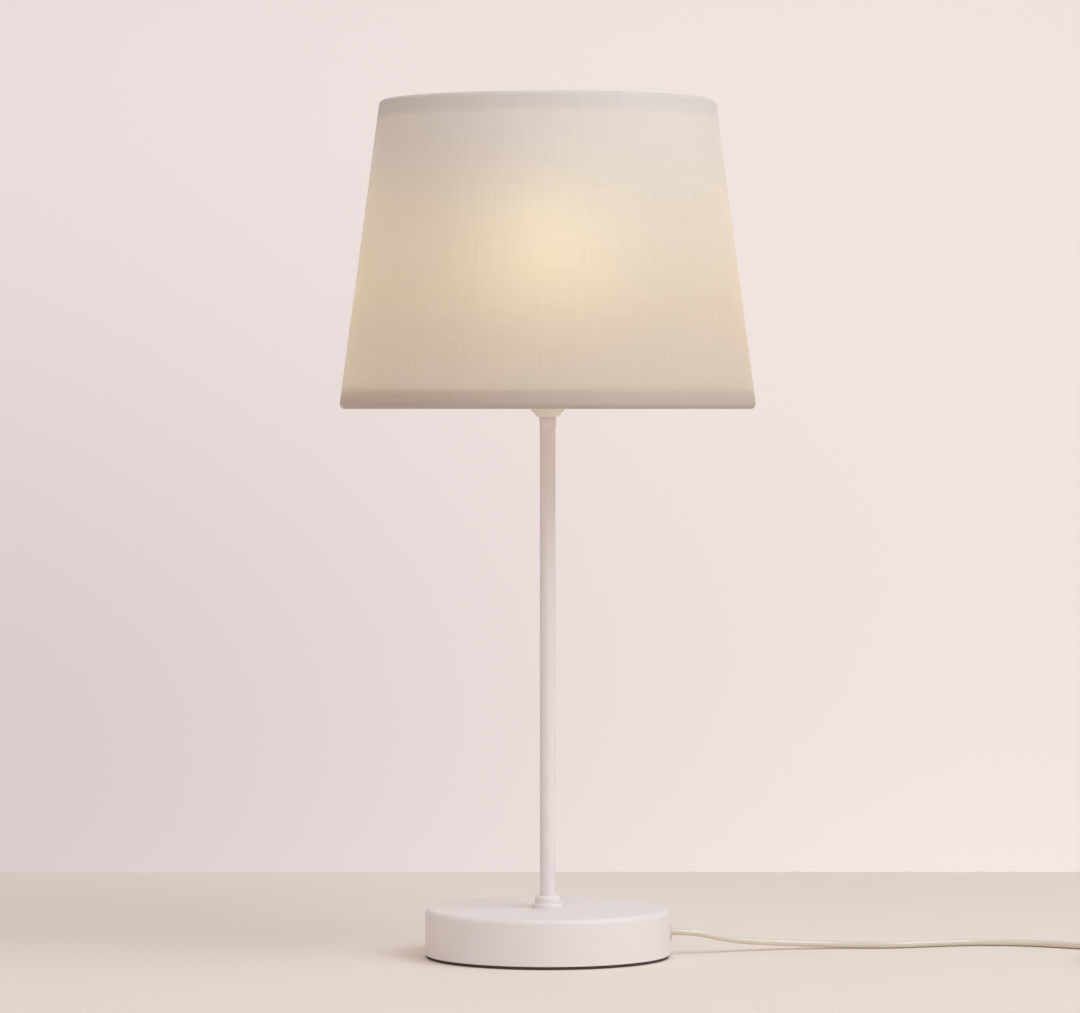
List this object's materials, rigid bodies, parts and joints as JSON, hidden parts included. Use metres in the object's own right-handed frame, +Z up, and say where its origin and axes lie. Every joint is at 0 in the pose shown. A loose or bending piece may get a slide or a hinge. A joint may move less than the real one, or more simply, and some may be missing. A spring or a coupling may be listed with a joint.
{
  "type": "table lamp",
  "caption": "Electric table lamp with a tapered drum shade on a slim stem, a round weighted base, a bulb in a screw lampholder, and a clear flat mains flex with an inline rocker switch and plug",
  "frame": {"origin": "centre of the base's underside, on the surface that the lamp stands on", "axes": "+Z up along the stem, +X towards the side of the base that the flex leaves, -Y towards the viewer of the picture"},
  "size_m": [0.4688, 0.2475, 0.4106],
  "materials": {
    "powder_coat": "matte powder coat, warm white",
    "cast_weight": "raw casting",
    "plain_steel": "zinc plated",
    "foot_foam": "dark brown foam rubber",
    "bush_plastic": "matte moulded plastic",
    "flex_sheath": "clear soft plastic",
    "core_sheath": "matte insulation",
    "holder_plastic": "matte moulded plastic, warm white",
    "insert_ceramic": "unglazed white ceramic",
    "brass_parts": "plain brass",
    "bulb_cap_metal": "nickel-bright, rolled",
    "bulb_glass_black": "black insulating glass",
    "bulb_plastic": "satin white plastic",
    "bulb_globe_opal": "opal, lit warm white",
    "board_metal": "white coated board",
    "chip_phosphor": "yellow phosphor",
    "shade_fabric": "plain weave laminated on film, light grey",
    "shade_wire": "white painted wire",
    "switch_plastic": "satin white plastic",
    "plug_plastic": "soft moulded plastic",
    "pin_metal": "nickel plated",
    "sleeve_plastic": "black insulating sleeve",
    "tie_paper": "flat plastic tie"
  },
  "bodies": {
    "lamp": {"base_shell": "powder_coat", "base_weight": "cast_weight", "base_plate": "plain_steel", "foot_pad": "foot_foam", "stem_collar": "powder_coat", "stem_washer": "plain_steel", "stem_nut": "plain_steel", "stem_tube": "powder_coat", "cable_bush": "bush_plastic", "cord_clamp": "bush_plastic", "clamp_screw": "plain_steel", "inner_flex": "flex_sheath", "top_coupler": "powder_coat", "holder_cap": "holder_plastic", "holder_barrel": "holder_plastic", "holder_insert": "insert_ceramic", "screw_shell": "brass_parts", "centre_contact": "brass_parts", "holder_terminals": "brass_parts", "terminal_screws": "plain_steel", "core_live": "core_sheath", "core_neutral": "core_sheath", "switch_base": "switch_plastic", "switch_cover": "switch_plastic", "switch_screws": "plain_steel", "switch_terminals": "brass_parts", "switch_terminal_screws": "plain_steel", "fixed_contact": "brass_parts", "sprung_contact": "brass_parts", "switch_neutral_core": "core_sheath", "switch_live_cores": "core_sheath", "plug_body": "plug_plastic", "plug_pins": "pin_metal", "plug_pin_sleeves": "sleeve_plastic", "cord_to_switch": "flex_sheath", "cord_to_coil": "flex_sheath", "cord_coil": "flex_sheath", "cord_to_plug": "flex_sheath", "coil_tie": "tie_paper"},
    "rocker": {"switch_rocker": "switch_plastic"},
    "bulb": {"bulb_tip": "brass_parts", "bulb_insulator": "bulb_glass_black", "bulb_cap": "bulb_cap_metal", "bulb_body": "bulb_plastic", "led_board": "board_metal", "led_chips": "chip_phosphor", "bulb_globe": "bulb_globe_opal"},
    "shade": {"shade_panel": "shade_fabric", "shade_bottom_ring": "shade_wire", "shade_top_ring": "shade_wire", "shade_fitter": "shade_wire", "shade_arms": "shade_wire"},
    "ring": {"shade_ring": "holder_plastic"}
  },
  "joints": [
    {"name": "rocker_tilt", "type": "hinge", "parent": "lamp", "child": "rocker", "pos_m": [0.281, -0.036, 0.0146], "axis": [1, 0, 0], "range_deg": [-14, 0]},
    {"name": "bulb_lift", "type": "slide", "parent": "lamp", "child": "bulb", "axis": [0, 0, 1], "range_m": [0, 0.16]},
    {"name": "shade_turn", "type": "hinge", "parent": "lamp", "child": "shade", "pos_m": [0, 0, 0.2896], "axis": [0, 0, 1], "continuous": true},
    {"name": "ring_turn", "type": "hinge", "parent": "lamp", "child": "ring", "pos_m": [0, 0, 0.2932], "axis": [0, 0, 1], "continuous": true}
  ]
}
